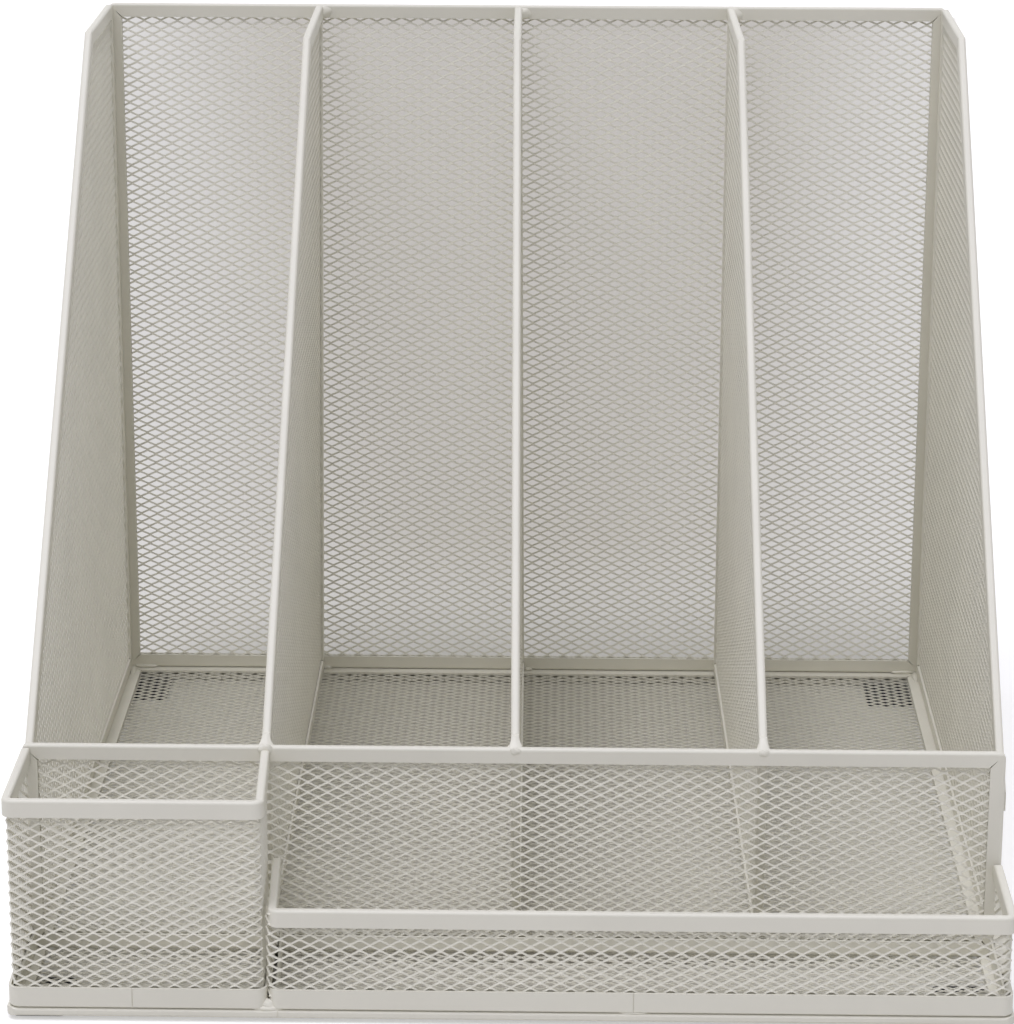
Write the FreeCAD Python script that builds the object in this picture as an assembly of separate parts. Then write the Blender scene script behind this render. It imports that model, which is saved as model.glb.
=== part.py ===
import FreeCAD, Part

import math
import os

from FreeCAD import Placement, Rotation, Vector

# A welded desk organizer of painted expanded-metal mesh. Four tall bays stand between a back
# panel, two sloping side panels, three dividers and a lower front wall. A pen cup and a low
# tray are welded to the front of that wall. Every panel is a mesh sheet whose edges are held
# in a folded strip of steel, its hem. Nothing moves.
#
# Millimetres. X runs to the right, Y to the back and Z up. The origin lies under the middle
# of the footprint, on the surface that the foot pads stand on.

# Driving dimensions: sheet stock
mesh_thickness = 1.2
hem_gauge = 0.8
fold_radius = 0.9
foot_fold_bevel = 0.5
seat_gap = 0.3

# Driving dimensions: the plain grid of openings that stands for the mesh's thousands of
# fine ones, with the long way of each opening level, as it is in expanded metal
grid_length = 62.0
grid_height = 38.0
grid_bar = 9.0
grid_margin = 2.0
smallest_opening_share = 0.25

# Driving dimensions: hems
panel_hem_width = 5.0
base_hem_width = 6.5
rim_width = 5.8
foot_band_width = 6.8
panel_corner_radius = 2.4
bend_radius = 4.0
mitre_slit_length = 3.4
mitre_slit_width = 0.55
seam_width = 0.3
seam_depth = 0.3

# Driving dimensions: file bays
overall_width = 320.0
bay_depth = 276.7
back_panel_height = 267.8
side_stand_out = 0.8
side_top_length = 62.0
side_slope_drop = 14.0
front_wall_height = 71.3

# Driving dimensions: dividers. As welded they stand a little out of square: each has a
# shift of its back edge and of its front edge from even spacing, and a lean to the left.
divider_count = 3
divider_top_length = 69.0
divider_back_shift = (-1.5, -1.2, -2.5)
divider_front_shift = (-0.9, 1.2, 1.0)
divider_lean_degrees = (-0.6, 0.4, 0.0)

# Driving dimensions: cup and tray
front_box_depth = 46.0
cup_wall_height = 70.4
tray_wall_height = 34.0
cup_flare = 2.0
cup_tray_gap = 0.5
wrap_radius = 3.6
tray_rim_end_radius = 4.0
cup_seam_place = 0.48
tray_seam_place = 0.49
base_seam_place = 0.27

# Driving dimensions: foot pads
pad_width = 18.0
pad_length = 26.0
pad_thickness = 1.5
pad_corner_radius = 2.5
pad_inset_left = 1.0
pad_inset_right = 6.0
pad_inset_ends = 3.5

# Driving dimensions: weld beads
bead_sides = 6
bead_radius = 2.2
bead_length = 4.0
bead_drop = 3.0
wall_bead_radius = 1.3
wall_bead_length = 7.0
wall_bead_drop = 0.9
root_bead_radius = 1.0
root_bead_length = 9.0
divider_bead_length = 3.0
side_bead_length = 4.5
smallest_bead_piece = 0.3

# Derived sizes
hem_thickness = mesh_thickness + 2 * hem_gauge
half_hem = hem_thickness / 2
overall_depth = bay_depth + front_box_depth
panel_width = overall_width - 2 * side_stand_out
y_back = overall_depth / 2
y_front = -overall_depth / 2
y_back_panel = y_back - half_hem
y_wall_front = y_back - bay_depth
y_front_wall = y_wall_front + half_hem
z_base = pad_thickness + half_hem
z_base_top = pad_thickness + hem_thickness
z_seat = z_base_top + seat_gap
y_bay_back = y_back - hem_thickness - seat_gap
y_bay_front = y_wall_front + hem_thickness + seat_gap
bay_length = y_bay_back - y_bay_front
x_side = overall_width / 2 - half_hem
x_box_side = panel_width / 2
y_box_back = y_wall_front - seat_gap

# Turns that stand a flat panel up: drawn in X and Y with its thickness along Z
FACING_FRONT = Rotation(Vector(1, 0, 0), 90)
FACING_SIDE = Rotation(Vector(1, 1, 1), 120)

parts = {}


def turn_between(before, here, after):
    """Return the unit directions into and out of a corner."""
    into = (here - before).normalize()
    out = (after - here).normalize()
    return into, out


def outline(points, radii, clipped=False):
    """Return a closed wire through anticlockwise points, its corners rounded or clipped off."""
    count = len(points)
    starts, ends, middles = [], [], []
    for i in range(count):
        here = Vector(*points[i])
        into, out = turn_between(Vector(*points[i - 1]), here, Vector(*points[(i + 1) % count]))
        turn = into.getAngle(out)
        reach = radii[i] * math.tan(turn / 2)
        starts.append(here - into * reach)
        ends.append(here + out * reach)
        inward = (out - into).normalize()
        middles.append(here + inward * radii[i] * (1 / math.cos(turn / 2) - 1))
    edges = []
    for i in range(count):
        if radii[i] > 0 and clipped:
            edges.append(Part.LineSegment(starts[i], ends[i]).toShape())
        elif radii[i] > 0:
            edges.append(Part.Arc(starts[i], middles[i], ends[i]).toShape())
        edges.append(Part.LineSegment(ends[i], starts[(i + 1) % count]).toShape())
    return Part.Wire(edges)


def inset(points, distances):
    """Move each side of an anticlockwise outline inwards by its own distance."""
    count = len(points)
    lines = []
    for i in range(count):
        start = Vector(*points[i])
        along = (Vector(*points[(i + 1) % count]) - start).normalize()
        inward = Vector(-along.y, along.x, 0)
        lines.append((start + inward * distances[i], along))
    moved = []
    for i in range(count):
        (p, d), (q, e) = lines[i - 1], lines[i]
        cross = d.x * e.y - d.y * e.x
        step = ((q.x - p.x) * e.y - (q.y - p.y) * e.x) / cross
        moved.append((p.x + d.x * step, p.y + d.y * step))
    return moved


def slab(points, radii, low, high, clipped=False):
    """Return a flat solid between two heights."""
    face = Part.Face(outline(points, radii, clipped))
    face.translate(Vector(0, 0, low))
    return face.extrude(Vector(0, 0, high - low))


def side_distances(count, distance, open_side, open_distance):
    """Return one distance for each side, with another for the side that has no hem."""
    return [open_distance if i == open_side else distance for i in range(count)]


def shrunk(radii, amount):
    return [max(radius - amount, 0) for radius in radii]


def on_side(edge, points, side):
    """Tell whether an edge lies over one side of an outline."""
    start = Vector(*points[side])
    along = (Vector(*points[(side + 1) % len(points)]) - start).normalize()
    ends = [vertex.Point - start for vertex in edge.Vertexes]
    return all(abs(along.x * v.y - along.y * v.x) < 0.01 for v in ends)


def fold_edges(solid, levels, points, open_side):
    """Find the long edges at the given heights, where the strip is folded."""
    folds = []
    for edge in solid.Edges:
        heights = [vertex.Z for vertex in edge.Vertexes]
        level = any(all(abs(z - at) < 0.001 for z in heights) for at in levels)
        if level and not (open_side is not None and on_side(edge, points, open_side)):
            folds.append(edge)
    return folds


def mitre_slits(points, width, open_side):
    """Return the slits where the folded strip meets itself at its inner corners."""
    count = len(points)
    corners = inset(points, side_distances(count, width, open_side, 0))
    slits = []
    for i in range(count):
        if open_side in (i, (i - 1) % count):
            continue
        tip_way = (Vector(*points[i]) - Vector(*corners[i])).normalize()
        across = Vector(-tip_way.y, tip_way.x, 0) * mitre_slit_width / 2
        root = Vector(*corners[i]) - tip_way * mitre_slit_width
        tip = Vector(*corners[i]) + tip_way * mitre_slit_length
        face = Part.Face(Part.makePolygon([root - across, tip, root + across, root - across]))
        face.translate(Vector(0, 0, -hem_thickness))
        slits.append(face.extrude(Vector(0, 0, 2 * hem_thickness)))
    return slits


def grid_cells(low, high, pitches):
    """Fill the space between two corners with equal boxes that stand a bar's width apart."""
    spans = []
    for start, end, pitch in zip(low, high, pitches):
        count = max(round((end - start + grid_bar) / pitch), 1)
        step = (end - start + grid_bar) / count
        spans.append([(start + i * step, step - grid_bar) for i in range(count)])
    return [Part.makeBox(length, width, height, Vector(x, y, z))
            for x, length in spans[0] for y, width in spans[1] for z, height in spans[2]]


def panel_openings(points, width, open_side):
    """Return a panel's grid of openings, which keeps clear of its hem and drops small corners."""
    clear = side_distances(len(points), width + grid_margin, open_side, grid_bar)
    window = slab(inset(points, clear), [0] * len(points), -mesh_thickness, mesh_thickness)
    box = window.BoundBox
    cells = grid_cells((box.XMin, box.YMin, box.ZMin), (box.XMax, box.YMax, box.ZMax),
                       (grid_length, grid_height, overall_width))
    least = smallest_opening_share * cells[0].Volume
    openings = window.common(Part.makeCompound(cells)).Solids
    return Part.makeCompound([opening for opening in openings if opening.Volume > least])


def mesh_sheet(points, radii, open_side=None):
    """Return a panel's mesh, still without openings. It fills the hem's fold, its corners clipped."""
    rim = side_distances(len(points), hem_gauge, open_side, 0)
    half = mesh_thickness / 2
    return slab(inset(points, rim), shrunk(radii, hem_gauge), -half, half, clipped=True)


def panel_hem(points, radii, width, open_side=None):
    """Return the strip folded round a panel's edge, with the mesh's slot inside the fold.

    The folds meet in mitres at the corners, which are then ground round.
    """
    square = [0] * len(points)
    body = slab(points, square, -half_hem, half_hem)
    folds = fold_edges(body, (-half_hem, half_hem), points, open_side)
    body = body.makeFillet(fold_radius, folds)
    body = body.common(slab(points, radii, -half_hem, half_hem))
    beyond = side_distances(len(points), width, open_side, -hem_thickness)
    window = slab(inset(points, beyond), square, -hem_thickness, hem_thickness)
    body = body.cut(window)
    body = body.cut(mesh_sheet(points, radii, open_side))
    return body.cut(Part.makeCompound(mitre_slits(points, width, open_side)))


def place_panel(name, points, radii, width, placement, open_side=None):
    """Put one panel's mesh and hem in their place, each as a part of its own."""
    mesh = mesh_sheet(points, radii, open_side).cut(panel_openings(points, width, open_side))
    for suffix, solid in (("mesh", mesh), ("hem", panel_hem(points, radii, width, open_side))):
        solid.Placement = placement
        parts[name + "_" + suffix] = solid


def rectangle(width, height):
    """Return an upright panel's outline: centred on X and standing on zero."""
    half = width / 2
    return [(-half, 0), (half, 0), (half, height), (-half, height)]


def sloped_outline(top_length, low_end):
    """Return a side panel's outline: its back edge on zero, its front edge at minus X."""
    return [(-bay_length, 0), (0, 0), (0, upright_height), (-top_length, upright_height),
            (-bay_length, low_end)]


def make_base():
    half_width, half_depth = overall_width / 2, overall_depth / 2
    points = [(-half_width, -half_depth), (half_width, -half_depth),
              (half_width, half_depth), (-half_width, half_depth)]
    place_panel("base", points, [wrap_radius] * 4, base_hem_width,
                Placement(Vector(0, 0, z_base), Rotation()))


def make_cross_panel(name, height, y_middle):
    place_panel(name, rectangle(panel_width, height), [panel_corner_radius] * 4,
                panel_hem_width, Placement(Vector(0, y_middle, z_seat), FACING_FRONT))


def make_sides():
    points = sloped_outline(side_top_length, front_wall_height - side_slope_drop)
    radii = [0, panel_corner_radius, panel_corner_radius, bend_radius, 0]
    front_side = len(points) - 1
    for name, x in (("left_side", -x_side), ("right_side", x_side)):
        place_panel(name, points, radii, panel_hem_width,
                    Placement(Vector(x, y_bay_back, z_seat), FACING_SIDE), front_side)


def divider_x(index, y, z):
    """Return the X of a divider's middle plane at a depth and height."""
    nominal = overall_width * ((index + 1) / (divider_count + 1) - 0.5)
    share = (y_bay_back - y) / bay_length
    shift = (1 - share) * divider_back_shift[index] + share * divider_front_shift[index]
    rise = (z - z_seat) * math.tan(math.radians(divider_lean_degrees[index]))
    return nominal + shift - rise


def make_dividers():
    points = sloped_outline(divider_top_length, front_wall_height)
    radii = [panel_corner_radius] * 3 + [bend_radius, bend_radius]
    for index in range(divider_count):
        x_back = divider_x(index, y_bay_back, z_seat)
        x_front = divider_x(index, y_bay_front, z_seat)
        skew = math.degrees(math.atan2(x_front - x_back, bay_length))
        turn = Rotation(Vector(0, 0, 1), skew)
        lean = Rotation(Vector(0, 1, 0), -divider_lean_degrees[index])
        place_panel("divider_%d" % (index + 1), points, radii, panel_hem_width,
                    Placement(Vector(x_back, y_bay_back, z_seat), turn * lean * FACING_SIDE))


def open_band(points, radii, outer, inner, low, high):
    """Return an upright strip bent round three sides of a plan outline."""
    back = len(points) - 1
    outside = inset(points, side_distances(len(points), outer, back, 0))
    inside = inset(points, side_distances(len(points), inner, back, -hem_thickness))
    band = slab(outside, shrunk(radii, outer), low, high)
    return band.cut(slab(inside, shrunk(radii, inner), low - 1, high + 1))


def box_openings(points, low, high):
    """Return the grid of openings in a cup's or tray's front wall and in its two side walls."""
    y_outer, y_inner = points[1][1], points[1][1] + hem_thickness
    bend = wrap_radius + grid_margin
    left, right = points[1][0], points[2][0]
    front = grid_cells((left + bend, y_outer, low), (right - bend, y_inner, high),
                       (grid_length, overall_width, grid_height))
    sides = grid_cells((left, y_outer + bend, low), (right, points[0][1] - grid_margin, high),
                       (overall_width * 2, grid_length, grid_height))
    return Part.makeCompound(front + sides)


def make_front_box(name, points, wall_height):
    """Make a cup or tray: a bent strip of mesh with a rim and a foot band folded over it."""
    back = len(points) - 1
    radii = [0, wrap_radius, wrap_radius, 0]
    top = z_seat + wall_height
    mesh = open_band(points, radii, hem_gauge, hem_gauge + mesh_thickness,
                     z_seat + hem_gauge, top - hem_gauge)
    rim = open_band(points, radii, 0, hem_thickness, top - rim_width, top)
    foot = open_band(points, radii, 0, hem_thickness, z_seat, z_seat + foot_band_width)
    rim = rim.makeFillet(fold_radius, fold_edges(rim, (top,), points, back))
    foot = foot.makeChamfer(foot_fold_bevel, fold_edges(foot, (z_seat,), points, back))
    openings = box_openings(points, z_seat + foot_band_width + grid_margin,
                            top - rim_width - grid_margin)
    parts[name + "_mesh"] = mesh.cut(openings)
    parts[name + "_rim"] = rim.cut(mesh)
    parts[name + "_foot_band"] = foot.cut(mesh)


def cut_seam(name, x, y_face, low, high):
    """Cut the fine groove where the ends of a folded strip meet on its front face."""
    groove = Part.makeBox(seam_width, 2 * seam_depth, high - low,
                          Vector(x - seam_width / 2, y_face - seam_depth, low))
    parts[name] = parts[name].cut(groove)


def round_rim_ends(name, points, top):
    """Turn the rim's two back ends down in a quarter round."""
    radius = tray_rim_end_radius
    y = points[0][1]
    low_x, high_x = points[0][0] - hem_thickness, points[-1][0] + hem_thickness
    corner = Part.makeBox(high_x - low_x, radius, radius, Vector(low_x, y - radius, top - radius))
    round_part = Part.makeCylinder(radius, high_x - low_x,
                                   Vector(low_x, y - radius, top - radius), Vector(1, 0, 0))
    parts[name] = parts[name].cut(corner.cut(round_part))


def make_cup_and_tray():
    x_cup_back = divider_x(0, y_bay_front, z_seat + front_wall_height) + half_hem
    x_cup_front = x_cup_back + cup_flare
    cup = [(-x_box_side, y_box_back), (-x_box_side, y_front),
           (x_cup_front, y_front), (x_cup_back, y_box_back)]
    tray = [(x_cup_back + cup_tray_gap, y_box_back), (x_cup_front + cup_tray_gap, y_front),
            (x_box_side, y_front), (x_box_side, y_box_back)]
    make_front_box("cup", cup, cup_wall_height)
    make_front_box("tray", tray, tray_wall_height)
    round_rim_ends("tray_rim", tray, z_seat + tray_wall_height)
    for name, plan, place in (("cup_foot_band", cup, cup_seam_place),
                              ("tray_foot_band", tray, tray_seam_place)):
        x = plan[1][0] + (plan[2][0] - plan[1][0]) * place
        cut_seam(name, x, y_front, z_seat, z_seat + foot_band_width)
    x_base_seam = overall_width * (base_seam_place - 0.5)
    cut_seam("base_hem", x_base_seam, y_front, pad_thickness, z_base_top)
    return cup, tray


def make_pads():
    y_pads = {"front": y_front + pad_inset_ends, "back": y_back - pad_inset_ends - pad_length}
    x_pads = {"left": -overall_width / 2 + pad_inset_left,
              "right": overall_width / 2 - pad_inset_right - pad_width}
    for end, y in y_pads.items():
        for side, x in x_pads.items():
            points = [(x, y), (x + pad_width, y),
                      (x + pad_width, y + pad_length), (x, y + pad_length)]
            parts["foot_pad_%s_%s" % (end, side)] = slab(points, [pad_corner_radius] * 4,
                                                         0, pad_thickness)


def bead(start, along, length, radius):
    """Return a weld bead: a many-sided bar from a point along a direction."""
    spoke = Vector(along.y, along.z, along.x) * radius
    turns = [Rotation(along, 360 * i / bead_sides) for i in range(bead_sides + 1)]
    ring = Part.makePolygon([start + turn.multVec(spoke) for turn in turns])
    return Part.Face(ring).extrude(along * length)


def tack(x, y, z, length, radius):
    """Return a bead that is centred on a point and runs along X."""
    return bead(Vector(x - length / 2, y, z), Vector(1, 0, 0), length, radius)


def root_bead(start, along, length):
    """Return a thin bead that lies in the groove between two pieces."""
    return bead(start, along, length, root_bead_radius)


def seated(beads, neighbours):
    """Trim the beads to what they are welded to, and drop crumbs."""
    others = Part.makeCompound([parts[name] for name in neighbours])
    solids = []
    for bead in beads:
        for solid in bead.cut(others).Solids:
            if solid.Volume > smallest_bead_piece:
                solids.append(solid)
    return Part.makeCompound(solids)


def make_back_welds():
    z = z_seat + upright_height - bead_drop
    beads = []
    for index in range(divider_count):
        x = divider_x(index, y_bay_back, z) + half_hem
        beads.append(tack(x, y_bay_back, z, bead_length, bead_radius))
    neighbours = ["back_hem", "back_mesh"]
    neighbours += ["divider_%d_%s" % (i + 1, kind)
                   for i in range(divider_count) for kind in ("hem", "mesh")]
    parts["back_welds"] = seated(beads, neighbours)


def make_front_wall_welds(tray):
    z = z_seat + front_wall_height - wall_bead_drop
    beads = []
    for index in range(divider_count):
        beads.append(tack(divider_x(index, y_bay_front, z), y_bay_front, z,
                          wall_bead_length, wall_bead_radius))
    x_rim, y_rim = tray[0]
    z_rim = z_seat + tray_wall_height - tray_rim_end_radius
    beads.append(root_bead(Vector(x_rim + half_hem, y_rim, z_rim - rim_width),
                           Vector(0, 0, 1), rim_width / 2))
    neighbours = ["front_wall_hem", "front_wall_mesh", "cup_rim", "cup_mesh",
                  "tray_rim", "tray_mesh"]
    neighbours += ["divider_%d_%s" % (i + 1, kind)
                   for i in range(divider_count) for kind in ("hem", "mesh")]
    parts["front_wall_welds"] = seated(beads, neighbours)


def make_base_welds(cup, tray):
    """Make the beads in the groove between the base and what stands on it."""
    z = z_base_top + seat_gap / 2
    right, back = Vector(1, 0, 0), Vector(0, 1, 0)
    length = root_bead_length
    y_outer = y_front + root_bead_radius
    beads = []
    x_seam = tray[1][0] + (tray[2][0] - tray[1][0]) * tray_seam_place
    for x in (cup[2][0], x_seam):
        beads.append(root_bead(Vector(x - length / 2, y_outer, z), right, length))
    y_foot = y_back - hem_thickness
    for index in range(divider_count):
        x = divider_x(index, y_bay_back, z) + half_hem
        beads.append(root_bead(Vector(x, y_foot, z), right, divider_bead_length))
    x_corner = panel_width / 2 - hem_thickness
    for sign in (-1, 1):
        x = sign * x_corner
        beads.append(root_bead(Vector(x, y_foot, z), right * -sign, length))
        beads.append(root_bead(Vector(x, y_foot, z), back * -1, length))
        foot = Vector(sign * (x_box_side - half_hem), y_box_back - front_box_depth / 2, z)
        beads.append(root_bead(foot, back, side_bead_length))
    neighbours = [name for name in parts if not name.endswith("_welds")]
    parts["base_welds"] = seated(beads, neighbours)


upright_height = back_panel_height - seat_gap

make_base()
make_cross_panel("back", upright_height, y_back_panel)
make_sides()
make_dividers()
make_cross_panel("front_wall", front_wall_height, y_front_wall)
cup_plan, tray_plan = make_cup_and_tray()
make_pads()
make_back_welds()
make_front_wall_welds(tray_plan)
make_base_welds(cup_plan, tray_plan)

os.makedirs("parts", exist_ok=True)
for part_name, part_shape in parts.items():
    part_shape.exportStep("parts/%s.step" % part_name)
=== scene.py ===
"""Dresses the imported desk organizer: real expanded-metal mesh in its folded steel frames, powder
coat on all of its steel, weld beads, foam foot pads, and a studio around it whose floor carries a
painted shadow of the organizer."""

import math

import bpy
import numpy as np
from bpy.props import FloatProperty, FloatVectorProperty, IntProperty, PointerProperty
from mathutils import Matrix, Vector


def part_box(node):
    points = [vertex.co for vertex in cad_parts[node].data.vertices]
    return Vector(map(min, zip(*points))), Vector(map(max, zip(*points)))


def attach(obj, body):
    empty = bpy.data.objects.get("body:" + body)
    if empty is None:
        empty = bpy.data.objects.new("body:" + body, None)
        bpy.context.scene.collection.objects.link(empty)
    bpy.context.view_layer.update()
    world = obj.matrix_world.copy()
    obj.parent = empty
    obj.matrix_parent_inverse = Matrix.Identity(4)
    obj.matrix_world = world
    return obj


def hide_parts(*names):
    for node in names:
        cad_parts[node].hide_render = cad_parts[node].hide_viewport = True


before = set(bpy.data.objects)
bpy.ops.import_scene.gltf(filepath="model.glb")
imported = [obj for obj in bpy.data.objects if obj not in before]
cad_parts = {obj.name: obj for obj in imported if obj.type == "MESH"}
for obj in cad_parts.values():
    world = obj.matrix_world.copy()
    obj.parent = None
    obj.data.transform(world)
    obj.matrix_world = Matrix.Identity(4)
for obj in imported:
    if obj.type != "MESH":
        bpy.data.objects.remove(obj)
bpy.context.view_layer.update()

bl_info = {
    "name": "Mesh Desk Organizer",
    "version": (1, 0, 0),
    "blender": (4, 5, 0),
    "location": "3D View > Sidebar > Organizer",
    "description": "Builds the organizer's expanded-metal panels, finishes and studio",
    "category": "Object",
}

MM = 0.001
BODY = "root"


def mm(*sizes):
    """Turn millimetres into an array of metres."""
    return np.array(sizes) * MM


def linear(code):
    """Turn an sRGB hex colour into linear values.

    A channel c becomes c / 12.92 up to 0.04045, and ((c + 0.055) / 1.055) ^ 2.4 above it.
    """
    channels = np.array([int(code[i:i + 2], 16) for i in (0, 2, 4)]) / 255
    curve = np.where(channels <= 0.04045, channels / 12.92, ((channels + 0.055) / 1.055) ** 2.4)
    return tuple(float(value) for value in curve)


# ---------------------------------------------------------------------------------------------
# Sizes and colours that a user would change
# ---------------------------------------------------------------------------------------------

class ExpandedMetalSettings(bpy.types.PropertyGroup):
    """The expanded steel that every panel is cut from."""
    opening_length: FloatProperty(
        name="Opening length", description="Long way of one opening, bond to bond",
        default=6.336 * MM, min=1 * MM, unit="LENGTH")
    opening_height: FloatProperty(
        name="Opening height", description="Short way of one opening, bond to bond",
        default=3.516 * MM, min=0.5 * MM, unit="LENGTH")
    strand_width: FloatProperty(
        name="Strand width", description="Width of the slit steel strand across its face",
        default=0.69 * MM, min=0.1 * MM, unit="LENGTH")
    strand_thickness: FloatProperty(
        name="Strand thickness", description="Sheet gauge with its paint",
        default=0.42 * MM, min=0.1 * MM, unit="LENGTH")
    strand_tilt: FloatProperty(
        name="Strand tilt", description="How far stretching the sheet turns each strand's face",
        default=math.radians(34), subtype="ANGLE")
    bond_length: FloatProperty(
        name="Bond length", description="Flat length where two strands stay joined",
        default=0.7 * MM, min=0, unit="LENGTH")
    bond_share: FloatProperty(
        name="Bond share", description="Share of a strand's width that stays beside its neighbour",
        default=0.4, min=0, max=1, subtype="FACTOR")
    bend_radius: FloatProperty(
        name="Bend radius", description="Radius of the mesh's middle where a box wall turns",
        default=2.2 * MM, min=0, unit="LENGTH")


class FinishSettings(bpy.types.PropertyGroup):
    """The paint and the foam."""
    paint: FloatVectorProperty(
        name="Paint", description="Warm pale grey powder coat",
        default=linear("DFDCCC"), size=3, min=0, max=1, subtype="COLOR")
    paint_roughness: FloatProperty(
        name="Paint roughness", description="Satin powder coat", default=0.48, min=0, max=1)
    foam: FloatVectorProperty(
        name="Foam", description="Black foam rubber of the foot pads",
        default=linear("1C1B1A"), size=3, min=0, max=1, subtype="COLOR")


class StudioSettings(bpy.types.PropertyGroup):
    """The floor, the lights and the camera."""
    floor: FloatVectorProperty(
        name="Floor", description="White floor", default=linear("DEDDD9"), size=3,
        min=0, max=1, subtype="COLOR")
    # Painted shadow: a pale grey tone on the floor below and behind the organizer, standing in for
    # its shadow cast back from the front
    painted_shadow: FloatVectorProperty(
        name="Painted shadow", description="Pale grey paper on the floor, below and behind the organizer",
        default=linear("DBD9CE"), size=3, min=0, max=1, subtype="COLOR")
    # Painted shade: a deeper tone along the painted shadow's middle
    painted_shadow_middle: FloatVectorProperty(
        name="Runner middle", description="Slightly deeper tone along the paper's middle",
        default=linear("C0BCAF"), size=3, min=0, max=1, subtype="COLOR")
    light: FloatVectorProperty(
        name="Light", description="Cool daylight of the studio", default=linear("F2F2FF"), size=3,
        min=0, max=1, subtype="COLOR")
    sky_strength: FloatProperty(
        name="Sky strength", description="Even light from all round", default=0.55, min=0)
    key_strength: FloatProperty(
        name="Key strength", description="Soft light overhead", default=1.75, min=0)
    key_softness: FloatProperty(
        name="Key softness", description="Angle that the overhead light fills",
        default=math.radians(40), subtype="ANGLE")
    fill_strength: FloatProperty(
        name="Fill strength", description="Wide soft light in front and to the left",
        default=0.14, min=0)
    fill_softness: FloatProperty(
        name="Fill softness", description="Angle that the front light fills",
        default=math.radians(60), subtype="ANGLE")
    lens: FloatProperty(
        name="Lens", description="Focal length on a 36 mm wide sensor", default=127.81, min=1)


class OrganizerSettings(bpy.types.PropertyGroup):
    """All settings of the organizer."""
    metal: PointerProperty(type=ExpandedMetalSettings)
    finish: PointerProperty(type=FinishSettings)
    studio: PointerProperty(type=StudioSettings)


# ---------------------------------------------------------------------------------------------
# Materials
# ---------------------------------------------------------------------------------------------

def add_node(tree, kind, links=None, **settings):
    """Add a node with its settings. links gives each input a value or another node's output."""
    node = tree.nodes.new(kind)
    for name, value in settings.items():
        setattr(node, name, value)
    for name, value in (links or {}).items():
        if isinstance(value, bpy.types.NodeSocket):
            tree.links.new(value, node.inputs[name])
        else:
            node.inputs[name].default_value = value
    return node


def new_material(name):
    """Make a material, and return it with its emptied node tree."""
    material = bpy.data.materials.new(name)
    material.use_nodes = True
    material.node_tree.nodes.clear()
    return material, material.node_tree


def powder_coated_steel(finish):
    """Powder-coated steel: a baked polyester skin over folded strip and expanded sheet.

    It gives the eye a soft satin sheen, a faint orange peel and slight unevenness of tone where
    the coat lies thicker. The peel is 1.2 mm from crest to crest, and the tone drifts over 35 mm
    between a paler and a deeper share of the paint's colour.
    """
    peel_size, peel_depth, drift_size = 1.2 * MM, 0.03 * MM, 35 * MM
    pale_share, deep_share = 1.05, 0.93
    material, tree = new_material("powder-coated steel")
    place = add_node(tree, "ShaderNodeTexCoord").outputs["Object"]
    drift = add_node(tree, "ShaderNodeTexNoise", {"Vector": place, "Scale": 1 / drift_size,
                                                  "Detail": 3.0})
    peel = add_node(tree, "ShaderNodeTexNoise", {"Vector": place, "Scale": 1 / peel_size,
                                                 "Detail": 1.0})
    pale = tuple(min(value * pale_share, 1) for value in finish.paint) + (1,)
    deep = tuple(value * deep_share for value in finish.paint) + (1,)
    tone = add_node(tree, "ShaderNodeMix", {"Factor": drift.outputs["Fac"], 6: deep, 7: pale},
                    data_type="RGBA")
    bump = add_node(tree, "ShaderNodeBump", {"Height": peel.outputs["Fac"], "Strength": 0.25,
                                             "Distance": peel_depth})
    shader = add_node(tree, "ShaderNodeBsdfPrincipled",
                      {"Base Color": tone.outputs[2], "Roughness": finish.paint_roughness,
                       "IOR": 1.5, "Normal": bump.outputs["Normal"]})
    add_node(tree, "ShaderNodeOutputMaterial", {"Surface": shader.outputs["BSDF"]})
    return material


def foam_rubber(finish):
    """Self-adhesive EVA foam: die-cut black sheet with closed cells of about 0.4 mm.

    It looks dull and slightly pitted, and shows as dark patches through the mesh above it.
    """
    cell_size, cell_depth = 0.4 * MM, 0.1 * MM
    material, tree = new_material("black EVA foam")
    place = add_node(tree, "ShaderNodeTexCoord").outputs["Object"]
    cells = add_node(tree, "ShaderNodeTexVoronoi", {"Vector": place, "Scale": 1 / cell_size})
    bump = add_node(tree, "ShaderNodeBump", {"Height": cells.outputs["Distance"],
                                             "Strength": 0.5, "Distance": cell_depth})
    shader = add_node(tree, "ShaderNodeBsdfPrincipled",
                      {"Base Color": tuple(finish.foam) + (1,), "Roughness": 0.9,
                       "IOR": 1.45, "Normal": bump.outputs["Normal"]})
    add_node(tree, "ShaderNodeOutputMaterial", {"Surface": shader.outputs["BSDF"]})
    return material


def finish_of(name, make, finish):
    """Return the named material, made on first use."""
    return bpy.data.materials.get(name) or make(finish)


def steel(context):
    """Return the organizer's painted steel."""
    return finish_of("powder-coated steel", powder_coated_steel, context.scene.organizer.finish)


def foam(context):
    """Return the foot pads' foam."""
    return finish_of("black EVA foam", foam_rubber, context.scene.organizer.finish)


# ---------------------------------------------------------------------------------------------
# Shapes
# ---------------------------------------------------------------------------------------------

# Nets: how far a flat one sits off the middle of its hem's fold, and the share of the
# strands' tilt on the base, on the back, and on the front wall, the cup and the tray
NET_SEAT = 0.3 * MM
BASE_LEAN, BACK_LEAN, FRONT_LEAN = 0.3, 0.9, 1

# A net's outline: the directions tried for corners, the points along a bend, and the lengths
# below which a strand is dropped, a side counts as level and a point lies on the back edge
OUTLINE_DIRECTIONS = 1441
BEND_POINTS = 9
SHORTEST_STRAND = 1e-7
LEVEL_SIDE = 1e-9
EDGE_TOLERANCE = 0.01 * MM

# Weld metal: points round a bead, depth of its waves, and how far they wander to the next lump
BEAD_STEPS = 24
BEAD_WAVE = 0.09
WANDER = 1.7

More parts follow.
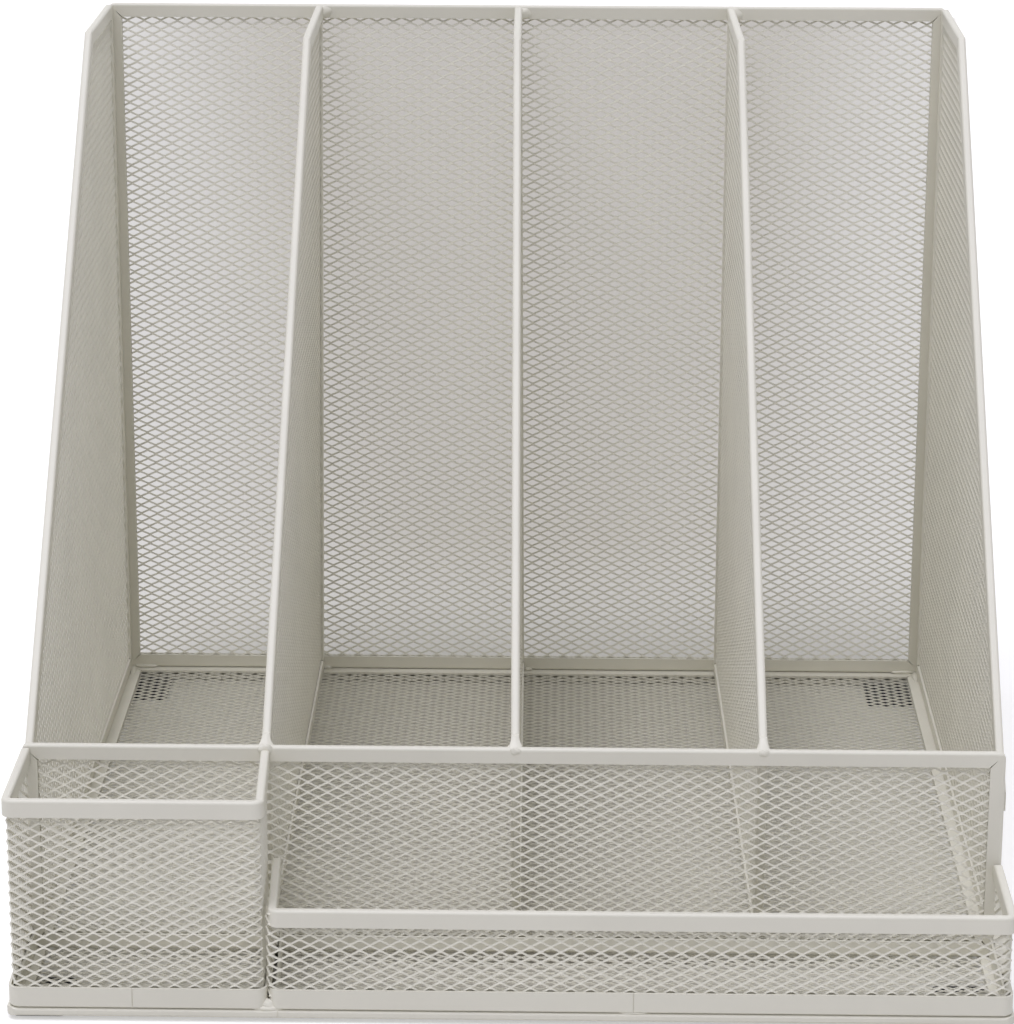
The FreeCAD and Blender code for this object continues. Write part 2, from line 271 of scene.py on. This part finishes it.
# A fillet's foot and head beside its lump's middle, and then the half sizes of both
BACK_FILLET = mm((0.2, 1.0, 0.1), (-2.4, -3.3, -0.6), (3.0, 0, 2.5), (0.6, 0, 1.3))
FRONT_FILLET = mm((0, -1.5, 0.3), (0, 2.2, 3.8), (2.8, 1.6, 0), (1.2, 0.8, 0))

# A bead's middle beside its lump's, and then its half size
FRONT_BEAD = mm((0, -3.0, 0), (1.9, 0.6, 1.4))
CUP_SIDE_BEAD = mm((0, -3.0, 0), (2.6, 1.1, 2.1))
FOOT_RUN_BEAD = mm((0.3, 0.9, 0.7), (3.2, 1.5, 2.4))
BASE_BEAD_GROWTH = mm(0.2, 0.1, 0.2)

# Where the lumps lie: the front wall's tacks below a height, the cup's side left of an x, and
# the runs between the cup's and the tray's feet in front of a y
TACKS_BELOW = 70 * MM
CUP_SIDE_LEFT_OF = -70 * MM
FOOT_RUNS_IN_FRONT_OF = -150 * MM


def node_points(node):
    """Return the vertices of a CAD node as an array."""
    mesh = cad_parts[node].data
    points = np.empty(len(mesh.vertices) * 3)
    mesh.vertices.foreach_get("co", points)
    return points.reshape(-1, 3)


def new_piece(name, vertices, faces, material, replaced):
    """Make a closed mesh piece that rides on the body and stands for a CAD node."""
    mesh = bpy.data.meshes.new(name)
    mesh.from_pydata(vertices, [], faces)
    mesh.materials.append(material)
    piece = bpy.data.objects.new(name, mesh)
    bpy.context.scene.collection.objects.link(piece)
    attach(piece, BODY)
    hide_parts(replaced)
    return piece


def strand_wave(along, metal, bond_length):
    """Return a strand's rise and fall, from -1 to 1, with a level stretch at each bond.

    It is a triangle wave, 1 - 4 * |fraction(along / opening length) - 1/2|, stretched by
    1 / (1 - 2 * bond length / opening length) and cut off at -1 and 1.
    """
    triangle = 1 - 4 * np.abs(np.mod(along / metal.opening_length, 1) - 0.5)
    gain = 1 / (1 - 2 * bond_length / metal.opening_length)
    return np.clip(triangle * gain, -1, 1)


def expanded_rows(starts, ends, heights, metal, lean, level_bonds):
    """Return the strands of expanded metal as closed zigzag bars, in sheet coordinates.

    A row's middle lies at height + rise * wave and stands out by step * wave, where the wave
    of every second row is shifted by half an opening. Its cross-section is a flat rectangle,
    turned by tilt * lean, so that the rows meet in short bonds like slit and stretched sheet.
    lean is above 0 where the strands' faces look up and below 0 where they look down. With
    level_bonds each bond has its level stretch, and without it the strands run straight
    from point to point.
    """
    half_opening = metal.opening_length / 2
    first = math.floor(starts.min() / half_opening)
    last = math.ceil(ends.max() / half_opening)
    bonds = np.arange(first, last + 1) * half_opening
    bond_length = metal.bond_length if level_bonds else 0
    if level_bonds:
        bonds = np.sort(np.concatenate([bonds - bond_length / 2, bonds + bond_length / 2]))
    along = np.clip(bonds[None, :], starts[:, None], ends[:, None])
    shift = (np.arange(len(heights)) % 2)[:, None] * half_opening
    wave = strand_wave(along + shift, metal, bond_length)

    half_width, half_thickness = metal.strand_width / 2, metal.strand_thickness / 2
    cos, sin = math.cos(metal.strand_tilt * lean), math.sin(metal.strand_tilt * lean)
    rise = metal.opening_height / 4 - metal.bond_share * half_width * cos
    step = half_width * sin
    across = np.array([-1, 1, 1, -1]) * half_width
    through = np.array([-1, -1, 1, 1]) * half_thickness
    corner_height = across * cos + through * sin
    corner_out = -across * sin + through * cos

    grid = np.empty(along.shape + (4, 3))
    grid[..., 0] = along[..., None]
    grid[..., 1] = (heights[:, None] + rise * wave)[..., None] + corner_height
    grid[..., 2] = (step * wave)[..., None] + corner_out

    number = np.arange(grid[..., 0].size).reshape(grid.shape[:3])
    kept = np.diff(along, axis=1) > SHORTEST_STRAND
    here, there = number[:, :-1], number[:, 1:]
    turned, turned_on = np.roll(here, -1, axis=2), np.roll(there, -1, axis=2)
    sides = np.stack([here, turned, turned_on, there], axis=-1)[kept].reshape(-1, 4)
    opens = kept & ~np.pad(kept[:, :-1], ((0, 0), (1, 0)))
    closes = kept & ~np.pad(kept[:, 1:], ((0, 0), (0, 1)))
    caps = np.concatenate([here[opens][:, ::-1], there[closes]])
    faces = np.concatenate([sides, caps])
    used, faces = np.unique(faces, return_inverse=True)
    return grid.reshape(-1, 3)[used], faces.reshape(-1, 4)


def row_heights(low, high, metal):
    """Return the middle height of each row: one every half opening height."""
    pitch = metal.opening_height / 2
    return np.arange(low + pitch / 2, high - pitch / 2, pitch)


def outer_corners(points):
    """Return a panel's outer corners in turn: the points that reach furthest in any direction.

    The furthest point in direction t is the one with the largest x * cos(t) + y * sin(t).
    """
    turn = np.linspace(0, 2 * math.pi, OUTLINE_DIRECTIONS)
    reach = points @ np.stack([np.cos(turn), np.sin(turn)])
    order = reach.argmax(axis=0)
    return points[order[np.append(True, np.diff(order) != 0)]]


def row_limits(outline, heights):
    """Return where each height enters and leaves a convex outline.

    On each side of the outline, from point p to point q, a height between them is met at
    p + (q - p) * (height - p height) / (q height - p height).
    """
    onward = np.roll(outline, -1, axis=0)
    drop = onward[:, 1] - outline[:, 1]
    drop = np.where(np.abs(drop) < LEVEL_SIDE, np.nan, drop)
    share = (heights[:, None] - outline[:, 1]) / drop
    met = np.where((share >= 0) & (share <= 1),
                   outline[:, 0] + share * (onward[:, 0] - outline[:, 0]), np.nan)
    return np.nanmin(met, axis=1), np.nanmax(met, axis=1)


def flat_panel(context, node, facing, along_hint, lean, level_bonds=True):
    """Fill one flat panel with expanded metal in the plane of its CAD sheet.

    The plane's normal is the direction in which the sheet's points vary least, on the side
    that the panel faces. The openings' long way runs along the hint, as far as it lies in the
    plane. A point of the net lies at middle + along * a + up * b + normal * (out + seat), where
    the seat sets the net against the side of the hem's fold that the panel faces.
    """
    metal = context.scene.organizer.metal
    points = node_points(node)
    middle = (points.min(axis=0) + points.max(axis=0)) / 2
    normal = np.linalg.svd(points - points.mean(axis=0))[2][2]
    normal *= np.sign(normal @ np.array(facing))
    along = np.array(along_hint) - normal * (normal @ np.array(along_hint))
    along /= np.linalg.norm(along)
    up = np.cross(normal, along)
    outline = outer_corners((points - middle) @ np.stack([along, up], axis=1))
    heights = row_heights(outline[:, 1].min(), outline[:, 1].max(), metal)
    starts, ends = row_limits(outline, heights)
    net, faces = expanded_rows(starts, ends, heights, metal, lean, level_bonds)
    vertices = middle + (net + (0, 0, NET_SEAT)) @ np.stack([along, up, normal])
    return new_piece(node + "_net", vertices, faces, steel(context), node)


def upright_panel(context, node):
    """Fill a side or divider with expanded metal whose openings stand upright.

    The net sits towards the organizer's middle, and the strands of all five panels lean the
    same way in the room.
    """
    low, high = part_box(node)
    inward = -1 if low[0] + high[0] > 0 else 1
    return flat_panel(context, node, (inward, 0, 0), (0, 0, inward), -inward, level_bonds=False)


def bent_path(points, radius):
    """Return the middle line of a bent wall in plan, and its length up to each point.

    Each bend is an arc of the radius, tangent to the two straight walls that meet there.
    """
    turn = np.linspace(0, 1, BEND_POINTS)[:, None]
    pieces = [points[:1]]
    for before, corner, after in zip(points[:-2], points[1:-1], points[2:]):
        into = (corner - before) / np.linalg.norm(corner - before)
        out = (after - corner) / np.linalg.norm(after - corner)
        angle = math.acos(float(into @ out))
        reach = radius * math.tan(angle / 2)
        centre = corner - into * reach + (out - into * math.cos(angle)) / math.sin(angle) * radius
        first = (corner - into * reach) - centre
        last = (corner + out * reach) - centre
        pieces.append(centre + (first * np.sin((1 - turn) * angle)
                                + last * np.sin(turn * angle)) / math.sin(angle))
    pieces.append(points[-1:])
    line = np.concatenate(pieces)
    steps = np.linalg.norm(np.diff(line, axis=0), axis=1)
    return line, np.concatenate([[0], np.cumsum(steps)])


def bent_wall(context, node, lean):
    """Fill the wrapped wall of the cup or tray with expanded metal that turns its corners.

    A point of the net lies at path(a) + outward * out in plan, at height b. The path runs in
    the middle of the CAD sheet, whose thickness shows as the first step across its back edges.
    """
    metal = context.scene.organizer.metal
    points = node_points(node)
    low, high = points.min(axis=0), points.max(axis=0)
    back = points[points[:, 1] > high[1] - EDGE_TOLERANCE]
    edges = np.unique(np.round(back[:, 0], 5))
    half = (edges[1] - edges[0]) / 2
    plan = np.array([[edges[0] + half, high[1]], [low[0] + half, low[1] + half],
                     [high[0] - half, low[1] + half], [edges[-1] - half, high[1]]])
    line, length = bent_path(plan, metal.bend_radius)
    heights = row_heights(low[2], high[2], metal)
    starts = np.zeros(len(heights))
    ends = np.full(len(heights), length[-1])
    net, faces = expanded_rows(starts, ends, heights, metal, lean, level_bonds=True)
    tangent = np.gradient(line, length, axis=0)
    tangent /= np.linalg.norm(tangent, axis=1)[:, None]
    where = np.stack([np.interp(net[:, 0], length, line[:, i]) for i in (0, 1)], axis=1)
    way = np.stack([np.interp(net[:, 0], length, tangent[:, i]) for i in (0, 1)], axis=1)
    outward = np.stack([way[:, 1], -way[:, 0]], axis=1)
    plan_points = where + outward * net[:, 2:3]
    vertices = np.column_stack([plan_points, net[:, 1]])
    return new_piece(node + "_net", vertices, faces, steel(context), node)


def lump_boxes(node):
    """Return the middle and the half size of each loose lump of a CAD node.

    Corners that share a place, and then corners that share a face, take the lowest number
    among them until no number changes. Corners with one number are one lump.
    """
    points = node_points(node)
    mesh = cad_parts[node].data
    corners = np.empty(len(mesh.loops), dtype=int)
    mesh.loops.foreach_get("vertex_index", corners)
    place = np.unique(np.round(points, 6), axis=0, return_inverse=True)[1].reshape(-1)
    triangles = place[corners].reshape(-1, 3)
    number = np.arange(place.max() + 1)
    settled = False
    while not settled:
        lowest = np.repeat(number[triangles].min(axis=1), 3)
        lower = number.copy()
        np.minimum.at(lower, triangles.reshape(-1), lowest)
        settled = bool((lower == number).all())
        number = lower
    lump = number[place]
    boxes = [(points[lump == item].min(axis=0), points[lump == item].max(axis=0))
             for item in np.unique(lump)]
    return [((low + high) / 2, (high - low) / 2) for low, high in boxes]


def closed_stack(rings):
    """Return the skin of a stack of rings, closed by a point in the middle of each end ring."""
    levels, steps = rings.shape[:2]
    number = np.arange(levels * steps).reshape(levels, steps)
    onward = np.roll(number, -1, axis=1)
    bottom, top = np.full(steps, levels * steps), np.full(steps, levels * steps + 1)
    vertices = np.concatenate([rings.reshape(-1, 3), rings[[0, -1]].mean(axis=1)])
    faces = [np.stack([number[:-1], onward[:-1], onward[1:]], axis=-1).reshape(-1, 3),
             np.stack([number[:-1], onward[1:], number[1:]], axis=-1).reshape(-1, 3),
             np.stack([onward[0], number[0], bottom], axis=-1),
             np.stack([number[-1], onward[-1], top], axis=-1)]
    return vertices, np.concatenate(faces)


def weld_waves(u, v, wander):
    """Return the uneven swell of weld metal round its axis (u) and along it (v).

    It is 1 + depth * sin(2u + wander) * cos(3v) + depth / 2 * sin(5u + 2 wander + 4v).
    """
    return (1 + BEAD_WAVE * np.sin(2 * u + wander) * np.cos(3 * v)
            + BEAD_WAVE / 2 * np.sin(5 * u + 2 * wander + 4 * v))


def bead(middle, half, wander):
    """Return a weld bead: an ellipsoid with waves on it, which fills its box.

    A point is middle + half * (cos v * cos u, cos v * sin u, sin v) * waves, and the whole is
    then scaled to reach its box. u goes round and v from end to end.
    """
    u = np.linspace(0, 2 * math.pi, BEAD_STEPS, endpoint=False)[None, :]
    v = np.linspace(-math.pi / 2, math.pi / 2, BEAD_STEPS // 2 + 1)[1:-1, None]
    ball = np.stack([np.cos(v) * np.cos(u), np.cos(v) * np.sin(u), np.sin(v) + 0 * u], axis=-1)
    ball *= weld_waves(u, v, wander)[..., None]
    low, high = ball.min(axis=(0, 1)), ball.max(axis=(0, 1))
    return closed_stack(middle + ((ball - low) / (high - low) * 2 - 1) * half)


def fillet(middle, shape, wander):
    """Return a weld fillet: a stack of ellipses that shrink in a hollow curve to its head.

    shape holds the foot and the head beside the lump's middle, and their half sizes. At a
    share s of the way from foot to head, a point is the ellipse's middle + half *
    (cos u, sin u, sin u) * waves, where half = head half + (foot half - head half) * (1 - s)^2
    is 0 in the stack's own direction.
    """
    foot, head = middle + shape[0], middle + shape[1]
    foot_half, head_half = shape[2:]
    s = np.linspace(0, 1, BEAD_STEPS // 2)[:, None]
    u = np.linspace(0, 2 * math.pi, BEAD_STEPS, endpoint=False)[None, :]
    ellipse = np.stack([np.cos(u), np.sin(u), np.sin(u)], axis=-1)
    ellipse = ellipse * weld_waves(u, s, wander)[..., None]
    half = head_half + (foot_half - head_half) * (1 - s) ** 2
    return closed_stack((foot + (head - foot) * s)[:, None] + half[:, None] * ellipse)


def back_weld(middle, _half, wander):
    """Return the fillet between the top of a divider and the back panel's rim."""
    return [fillet(middle, BACK_FILLET, wander)]


def front_wall_weld(middle, half, wander):
    """Return a divider's fillet and bead on the front wall's rim, or a small tack lower down.

    The first divider's bead is larger, because it holds the cup's side as well.
    """
    if middle[2] < TACKS_BELOW:
        return [bead(middle, half, wander)]
    beside, size = CUP_SIDE_BEAD if middle[0] <= CUP_SIDE_LEFT_OF else FRONT_BEAD
    return [fillet(middle, FRONT_FILLET, wander), bead(middle + beside, size, wander)]


def base_weld(middle, half, wander):
    """Return a bead where two strips meet on the base, with a run up the cup's and tray's feet."""
    beads = [bead(middle, half + BASE_BEAD_GROWTH, wander)]
    if middle[1] < FOOT_RUNS_IN_FRONT_OF and middle[0] < 0:
        beside, size = FOOT_RUN_BEAD
        beads.append(bead(middle + beside, size, wander))
    return beads


def weld_beads(context, node, shape):
    """Lay weld metal in the place of each lump of a CAD node.

    shape turns a lump's middle, its half size and the wander of its waves into closed skins.
    """
    skins = [skin for count, (middle, half) in enumerate(lump_boxes(node))
             for skin in shape(middle, half, WANDER * count)]
    starts = np.cumsum([0] + [len(vertices) for vertices, faces in skins])
    vertices = np.concatenate([vertices for vertices, faces in skins])
    faces = np.concatenate([faces + start for start, (points, faces) in zip(starts, skins)])
    return new_piece(node + "_beads", vertices, faces, steel(context), node)


# ---------------------------------------------------------------------------------------------
# Operators
# ---------------------------------------------------------------------------------------------

class ORGANIZER_OT_base_mesh(bpy.types.Operator):
    """Make the floor of the bays, the cup and the tray: one sheet of expanded metal"""
    bl_idname = "organizer.base_mesh"
    bl_label = "Base Mesh"

    def execute(self, context):
        flat_panel(context, "base_mesh", (0, 0, 1), (1, 0, 0), BASE_LEAN, level_bonds=False)
        return {"FINISHED"}


class ORGANIZER_OT_back_mesh(bpy.types.Operator):
    """Make the tall back panel's expanded metal"""
    bl_idname = "organizer.back_mesh"
    bl_label = "Back Mesh"

    def execute(self, context):
        flat_panel(context, "back_mesh", (0, -1, 0), (1, 0, 0), BACK_LEAN, level_bonds=False)
        return {"FINISHED"}


class ORGANIZER_OT_side_meshes(bpy.types.Operator):
    """Make the expanded metal of the two sloping side panels"""
    bl_idname = "organizer.side_meshes"
    bl_label = "Side Meshes"

    def execute(self, context):
        for node in ("left_side_mesh", "right_side_mesh"):
            upright_panel(context, node)
        return {"FINISHED"}


class ORGANIZER_OT_divider_meshes(bpy.types.Operator):
    """Make the expanded metal of the dividers between the bays"""
    bl_idname = "organizer.divider_meshes"
    bl_label = "Divider Meshes"

    def execute(self, context):
        dividers = sorted(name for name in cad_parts
                          if name.startswith("divider_") and name.endswith("_mesh"))
        for node in dividers:
            upright_panel(context, node)
        return {"FINISHED"}


class ORGANIZER_OT_front_wall_mesh(bpy.types.Operator):
    """Make the expanded metal of the low wall in front of the bays"""
    bl_idname = "organizer.front_wall_mesh"
    bl_label = "Front Wall Mesh"

    def execute(self, context):
        flat_panel(context, "front_wall_mesh", (0, -1, 0), (1, 0, 0), FRONT_LEAN)
        return {"FINISHED"}


class ORGANIZER_OT_cup_mesh(bpy.types.Operator):
    """Make the pen cup's wrapped wall of expanded metal"""
    bl_idname = "organizer.cup_mesh"
    bl_label = "Cup Mesh"

    def execute(self, context):
        bent_wall(context, "cup_mesh", FRONT_LEAN)
        return {"FINISHED"}


class ORGANIZER_OT_tray_mesh(bpy.types.Operator):
    """Make the tray's wrapped wall of expanded metal"""
    bl_idname = "organizer.tray_mesh"
    bl_label = "Tray Mesh"

    def execute(self, context):
        bent_wall(context, "tray_mesh", FRONT_LEAN)
        return {"FINISHED"}


class ORGANIZER_OT_painted_steel(bpy.types.Operator):
    """Put the powder coat on the folded strips and the weld beads"""
    bl_idname = "organizer.painted_steel"
    bl_label = "Painted Steel"

    def execute(self, context):
        for name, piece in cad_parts.items():
            if not name.startswith("foot_pad"):
                piece.material_slots[0].material = steel(context)
        return {"FINISHED"}


class ORGANIZER_OT_foot_pads(bpy.types.Operator):
    """Put the foam finish on the four foot pads"""
    bl_idname = "organizer.foot_pads"
    bl_label = "Foot Pads"

    def execute(self, context):
        for name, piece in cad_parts.items():
            if name.startswith("foot_pad"):
                piece.material_slots[0].material = foam(context)
        return {"FINISHED"}


class ORGANIZER_OT_weld_beads(bpy.types.Operator):
    """Lay the weld beads that join the panels"""
    bl_idname = "organizer.weld_beads"
    bl_label = "Weld Beads"

    def execute(self, context):
        weld_beads(context, "back_welds", back_weld)
        weld_beads(context, "front_wall_welds", front_wall_weld)
        weld_beads(context, "base_welds", base_weld)
        return {"FINISHED"}


class ORGANIZER_OT_stage(bpy.types.Operator):
    """Set up the camera, the soft lights and the floor with its painted shadow"""
    bl_idname = "organizer.stage"
    bl_label = "Stage"

    def execute(self, context):
        studio = context.scene.organizer.studio
        make_camera(context, studio)
        make_lights(context, studio)
        make_floor(context, studio)
        context.scene.view_settings.view_transform = "Standard"
        return {"FINISHED"}


# ---------------------------------------------------------------------------------------------
# Stage
# ---------------------------------------------------------------------------------------------

# Camera: its place, its turn in radians, and its shift in shares of the frame's width
CAMERA_PLACE = Vector((16.6, -1202.9, 494.7)) * MM
CAMERA_YAW = -0.0151
CAMERA_DOWNWARD = 0.2978
CAMERA_ROLL = -0.0036
CAMERA_SHIFT = (-0.00726, -0.01414)
CAMERA_SENSOR_WIDTH = 36
CAMERA_NEAREST = 0.05

# The way from the organizer to each lamp
KEY_DIRECTION = (-0.2, -0.22, 1.0)
FILL_DIRECTION = (-0.45, -1.0, 0.75)

# The painted shadow on the floor, in metres: its half width up to the y where it widens, how far
# each side spreads per metre behind that, its ends in y, the widths over which its edges and its
# deeper painted shade fade, and the stretch in y close behind the organizer that is painted light
PAINTED_SHADOW_HALF_WIDTH = 0.159
PAINTED_SHADOW_WIDENS_AT = 0.1
PAINTED_SHADOW_SPREAD_LEFT = 0.125
PAINTED_SHADOW_SPREAD_RIGHT = 0.108
PAINTED_SHADOW_NEAR_END = -0.158
PAINTED_SHADOW_FAR_END = 1.78
PAINTED_SHADOW_FADE = 0.008
PAINTED_SHADE_FADE = 0.16
PAINTED_LIGHT_START = 0.175
PAINTED_LIGHT_END = 0.2

# The floor's reach from its middle, in metres, and its own light for what sees it
FLOOR_REACH = 8.0
FLOOR_LIFT = 0.42


def make_camera(context, studio):
    """Put the camera in front of the organizer, above it and a little to the right."""
    camera = bpy.data.objects.new("camera", bpy.data.cameras.new("camera"))
    context.scene.collection.objects.link(camera)
    camera.data.sensor_fit = "HORIZONTAL"
    camera.data.sensor_width = CAMERA_SENSOR_WIDTH
    camera.data.lens = studio.lens
    camera.data.shift_x, camera.data.shift_y = CAMERA_SHIFT
    camera.data.clip_start = CAMERA_NEAREST
    turn = Matrix.Rotation(-CAMERA_YAW, 4, "Z")
    turn @= Matrix.Rotation(math.pi / 2 - CAMERA_DOWNWARD, 4, "X")
    turn @= Matrix.Rotation(-CAMERA_ROLL, 4, "Z")
    camera.matrix_world = Matrix.Translation(CAMERA_PLACE) @ turn
    context.scene.camera = camera


def seen_rays(tree):
    """Return 1 for what the camera sees, straight or in a mirror or through glass, and else 0."""
    path = add_node(tree, "ShaderNodeLightPath")
    mirrored = add_node(tree, "ShaderNodeMath", {0: path.outputs["Is Camera Ray"],
                                                 1: path.outputs["Is Glossy Ray"]},
                        operation="MAXIMUM")
    seen = add_node(tree, "ShaderNodeMath", {0: mirrored.outputs[0],
                                             1: path.outputs["Is Transmission Ray"]},
                    operation="MAXIMUM")
    return seen.outputs[0]


def make_lights(context, studio):
    """Light the organizer evenly from all round, with soft lights overhead and in front."""
    world = bpy.data.worlds.new("studio")
    context.scene.world = world
    world.use_nodes = True
    tree = world.node_tree
    tree.nodes.clear()
    lit = add_node(tree, "ShaderNodeBackground", {"Color": tuple(studio.light) + (1,),
                                                  "Strength": studio.sky_strength})
    seen = add_node(tree, "ShaderNodeBackground", {"Color": (1, 1, 1, 1), "Strength": 1.0})
    both = add_node(tree, "ShaderNodeMixShader", {"Fac": seen_rays(tree), 1: lit.outputs[0],
                                                  2: seen.outputs[0]})
    add_node(tree, "ShaderNodeOutputWorld", {"Surface": both.outputs[0]})

    make_lamp(context, "key", studio.light, studio.key_strength, studio.key_softness,
              KEY_DIRECTION)
    make_lamp(context, "fill", studio.light, studio.fill_strength, studio.fill_softness,
              FILL_DIRECTION)


def make_lamp(context, name, colour, strength, softness, direction):
    """Hang a far soft lamp that shines from one direction."""
    lamp = bpy.data.lights.new(name, "SUN")
    lamp.color = colour
    lamp.energy = strength
    lamp.angle = softness
    item = bpy.data.objects.new(name, lamp)
    context.scene.collection.objects.link(item)
    item.matrix_world = Vector(direction).to_track_quat("Z", "Y").to_matrix().to_4x4()


def past_edge(tree, inside, width):
    """Return a share that rises smoothly from 0 at an edge to 1 at a width inside it."""
    share = add_node(tree, "ShaderNodeMapRange", {"Value": inside, "From Max": width},
                     interpolation_type="SMOOTHSTEP")
    return share.outputs["Result"]


def inside_side(tree, place, spread, side):
    """Return the way inside the painted shadow's left (-1) or right (1) edge.

    The edge runs back at x = side * (half width + spread * way behind the widening's start).
    """
    behind = add_node(tree, "ShaderNodeMath", {0: place.outputs["Y"], 1: PAINTED_SHADOW_WIDENS_AT},
                      operation="SUBTRACT")
    behind = add_node(tree, "ShaderNodeMath", {0: behind.outputs[0], 1: 0.0},
                      operation="MAXIMUM")
    edge = add_node(tree, "ShaderNodeMath",
                    {0: behind.outputs[0], 1: spread, 2: PAINTED_SHADOW_HALF_WIDTH},
                    operation="MULTIPLY_ADD")
    out = add_node(tree, "ShaderNodeMath", {0: place.outputs["X"], 1: float(side)},
                   operation="MULTIPLY")
    inside = add_node(tree, "ShaderNodeMath", {0: edge.outputs[0], 1: out.outputs[0]},
                      operation="SUBTRACT")
    return inside.outputs[0]


def product(tree, shares):
    """Multiply some shares."""
    total = shares[0]
    for share in shares[1:]:
        total = add_node(tree, "ShaderNodeMath", {0: total, 1: share},
                         operation="MULTIPLY").outputs[0]
    return total


def painted_shadow_shares(tree):
    """Return how much of the painted shadow shows, and how much of its middle's deeper painted
    shade.

    The painted shade is deeper under the organizer and far behind it, and close behind it the tone
    is painted light.
    """
    place = add_node(tree, "ShaderNodeSeparateXYZ",
                     {0: add_node(tree, "ShaderNodeTexCoord").outputs["Object"]})
    sides = [inside_side(tree, place, PAINTED_SHADOW_SPREAD_LEFT, -1),
             inside_side(tree, place, PAINTED_SHADOW_SPREAD_RIGHT, 1)]
    near = add_node(tree, "ShaderNodeMath", {0: place.outputs["Y"], 1: PAINTED_SHADOW_NEAR_END},
                    operation="SUBTRACT")
    far = add_node(tree, "ShaderNodeMath", {0: PAINTED_SHADOW_FAR_END, 1: place.outputs["Y"]},
                   operation="SUBTRACT")
    edges = sides + [near.outputs[0], far.outputs[0]]
    shown = product(tree, [past_edge(tree, edge, PAINTED_SHADOW_FADE) for edge in edges])
    # Painted shade: the deeper tone under the organizer, where its shadow falls
    under = add_node(tree, "ShaderNodeMath", {0: PAINTED_LIGHT_START, 1: place.outputs["Y"]},
                     operation="SUBTRACT")
    # Painted light: close behind the organizer the tone stays pale over its real shadow, then
    # deepens far behind
    behind = add_node(tree, "ShaderNodeMath", {0: place.outputs["Y"], 1: PAINTED_LIGHT_END},
                      operation="SUBTRACT")
    deeper = add_node(tree, "ShaderNodeMath",
                      {0: past_edge(tree, under.outputs[0], PAINTED_SHADOW_FADE),
                       1: past_edge(tree, behind.outputs[0], PAINTED_SHADE_FADE)},
                      operation="MAXIMUM")
    shaded = product(tree, [past_edge(tree, edge, PAINTED_SHADE_FADE) for edge in sides]
                     + [deeper.outputs[0]])
    return shown, shaded


def make_floor(context, studio):
    """Lay a white floor with a painted shadow on it: pale grey, shaped like the organizer's shadow
    cast back from the front, and widening to the back.

    The bare floor gives a little light of its own to what sees it, so that it looks white and
    still shows the organizer's shadow.
    """
    mesh = bpy.data.meshes.new("floor")
    corners = [(-1, -1, 0), (1, -1, 0), (1, 1, 0), (-1, 1, 0)]
    mesh.from_pydata([Vector(corner) * FLOOR_REACH for corner in corners], [], [(0, 1, 2, 3)])
    floor = bpy.data.objects.new("floor", mesh)
    context.scene.collection.objects.link(floor)
    material, tree = new_material("floor with painted shadow")
    mesh.materials.append(material)
    shown, shaded = painted_shadow_shares(tree)
    # Painted shadow and its deeper painted shade, mixed into the floor's colour
    painted_shadow = add_node(tree, "ShaderNodeMix", {"Factor": shaded, 6: tuple(studio.painted_shadow) + (1,),
                                              7: tuple(studio.painted_shadow_middle) + (1,)},
                      data_type="RGBA")
    colour = add_node(tree, "ShaderNodeMix", {"Factor": shown, 6: tuple(studio.floor) + (1,),
                                              7: painted_shadow.outputs[2]}, data_type="RGBA")
    shader = add_node(tree, "ShaderNodeBsdfPrincipled",
                      {"Base Color": colour.outputs[2], "Roughness": 0.9,
                       "Specular IOR Level": 0.2})
    bare = add_node(tree, "ShaderNodeMath", {0: 1.0, 1: shown}, operation="SUBTRACT")
    seen = product(tree, [bare.outputs[0], FLOOR_LIFT, seen_rays(tree)])
    white = add_node(tree, "ShaderNodeEmission", {"Strength": seen})
    both = add_node(tree, "ShaderNodeAddShader", {0: shader.outputs["BSDF"],
                                                  1: white.outputs["Emission"]})
    add_node(tree, "ShaderNodeOutputMaterial", {"Surface": both.outputs["Shader"]})


# ---------------------------------------------------------------------------------------------
# Panel and registration
# ---------------------------------------------------------------------------------------------

MAKERS = (
    ORGANIZER_OT_stage,
    ORGANIZER_OT_painted_steel,
    ORGANIZER_OT_foot_pads,
    ORGANIZER_OT_base_mesh,
    ORGANIZER_OT_back_mesh,
    ORGANIZER_OT_side_meshes,
    ORGANIZER_OT_divider_meshes,
    ORGANIZER_OT_front_wall_mesh,
    ORGANIZER_OT_cup_mesh,
    ORGANIZER_OT_tray_mesh,
    ORGANIZER_OT_weld_beads,
)


class ORGANIZER_PT_sidebar(bpy.types.Panel):
    """Lists the organizer's pieces in the order in which they are made"""
    bl_idname = "ORGANIZER_PT_sidebar"
    bl_label = "Mesh Desk Organizer"
    bl_space_type = "VIEW_3D"
    bl_region_type = "UI"
    bl_category = "Organizer"

    def draw(self, context):
        for maker in MAKERS:
            self.layout.operator(maker.bl_idname)
        settings = context.scene.organizer
        for group in (settings.metal, settings.finish, settings.studio):
            box = self.layout.box()
            for name in group.__annotations__:
                box.prop(group, name)


CLASSES = (ExpandedMetalSettings, FinishSettings, StudioSettings, OrganizerSettings,
           *MAKERS, ORGANIZER_PT_sidebar)


def register():
    for item in CLASSES:
        bpy.utils.register_class(item)
    bpy.types.Scene.organizer = PointerProperty(type=OrganizerSettings)


def unregister():
    del bpy.types.Scene.organizer
    for item in reversed(CLASSES):
        bpy.utils.unregister_class(item)


def main():
    """Make everything in order."""
    register()
    for maker in MAKERS:
        group, name = maker.bl_idname.split(".")
        getattr(getattr(bpy.ops, group), name)()


if __name__ == "__main__":
    main()
